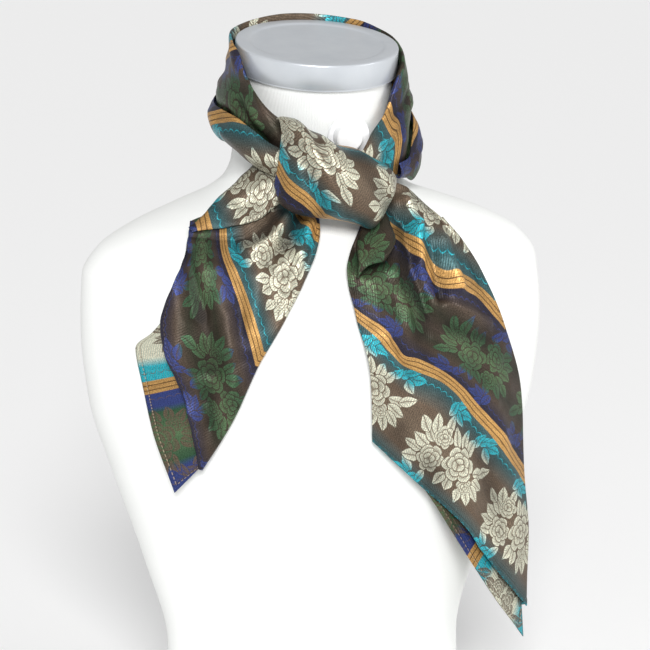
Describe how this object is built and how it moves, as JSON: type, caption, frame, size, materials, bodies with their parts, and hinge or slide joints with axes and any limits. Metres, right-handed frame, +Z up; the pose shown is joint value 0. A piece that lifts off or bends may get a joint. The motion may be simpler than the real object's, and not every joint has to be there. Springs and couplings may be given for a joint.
{
  "type": "silk scarf on a dress form",
  "caption": "Silk square folded cornerwise and knotted at the front round the neck of a smooth limbless dress form, its corners hanging as tails.",
  "frame": {"origin": "centre of the dress form's flat underside, on the surface it stands on", "axes": "+Z up along the form, -Y to the form's front where the scarf is knotted, +X to the form's left"},
  "size_m": [0.344, 0.216, 0.5144],
  "materials": {
    "silk": "brown jacquard silk with gold stripes and cream, teal, navy and green flowers, lustrous",
    "knit": "white fine ribbed jersey over a smooth bust",
    "cap": "satin silver",
    "dial": "white, softly glossy"
  },
  "bodies": {
    "root": {"form_body": "knit", "form_cap": "cap", "form_dial_base": "dial", "form_dial_knob": "dial", "wrap_upper": "silk", "wrap_lower": "silk", "knot_band": "silk", "tail_left_flap": "silk", "tail_left": "silk", "tail_right_fold": "silk", "tail_right": "silk"}
  },
  "joints": []
}
